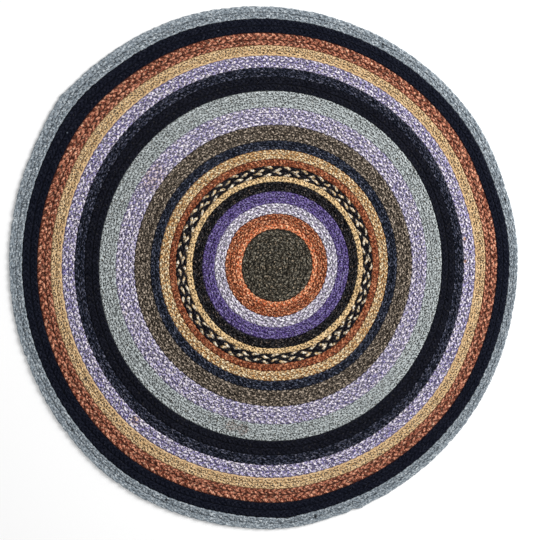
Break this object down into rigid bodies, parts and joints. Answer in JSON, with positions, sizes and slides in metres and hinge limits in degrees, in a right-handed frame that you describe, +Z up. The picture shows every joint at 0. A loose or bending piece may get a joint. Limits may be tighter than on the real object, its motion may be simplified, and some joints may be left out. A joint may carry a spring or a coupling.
{
  "type": "round jute rug",
  "caption": "Round flat floor rug of plaited jute, coiled and sewn in concentric coloured bands of braid with ridged rows on top.",
  "frame": {"origin": "on the floor under the middle of the coil, on the rug's flat underside", "axes": "+Z up out of the floor; +Y is the far side of the rug, the top of the picture; +X is the picture's right"},
  "size_m": [1.1932, 1.2024, 0.008],
  "materials": {
    "centre_olive_jute": "matt dyed jute, dark olive with khaki and grey flecks",
    "orange_row_jute": "matt dyed jute, bright orange",
    "rust_inner_jute": "matt dyed jute, rust brown",
    "pale_lilac_jute": "matt dyed jute, very pale lilac and white",
    "deep_purple_jute": "matt dyed jute, deep purple",
    "charcoal_jute": "matt dyed jute, charcoal with brownish flecks",
    "natural_row_jute": "undyed golden jute",
    "black_natural_plait_jute": "matt jute, two black strands and one natural strand",
    "brick_row_jute": "matt dyed jute, brick red-brown",
    "gold_jute": "matt dyed jute, golden beige",
    "navy_inner_jute": "matt dyed jute, dark navy with slate flecks",
    "khaki_jute": "matt dyed jute, olive brown with beige flecks",
    "lavender_jute": "matt dyed jute, lavender with pinkish white flecks",
    "light_grey_jute": "matt dyed jute, light grey-green",
    "black_jute": "matt dyed jute, brown-black",
    "navy_flecked_jute": "matt dyed jute, navy with slate flecks",
    "lilac_jute": "matt dyed jute, lilac with white flecks",
    "beige_jute": "matt jute, beige",
    "terracotta_jute": "matt dyed jute, terracotta with salmon highlights",
    "near_black_jute": "matt dyed jute, near-black navy",
    "grey_blue_edge_jute": "matt dyed jute, grey-blue"
  },
  "bodies": {
    "root": {"centre_olive": "centre_olive_jute", "orange_row": "orange_row_jute", "rust_inner": "rust_inner_jute", "pale_lilac": "pale_lilac_jute", "deep_purple": "deep_purple_jute", "charcoal": "charcoal_jute", "natural_row": "natural_row_jute", "black_natural_plait": "black_natural_plait_jute", "brick_row": "brick_row_jute", "gold": "gold_jute", "navy_inner": "navy_inner_jute", "khaki": "khaki_jute", "lavender": "lavender_jute", "light_grey": "light_grey_jute", "black": "black_jute", "navy_flecked": "navy_flecked_jute", "lilac": "lilac_jute", "beige": "beige_jute", "terracotta": "terracotta_jute", "near_black": "near_black_jute", "grey_blue_edge": "grey_blue_edge_jute"}
  },
  "joints": []
}
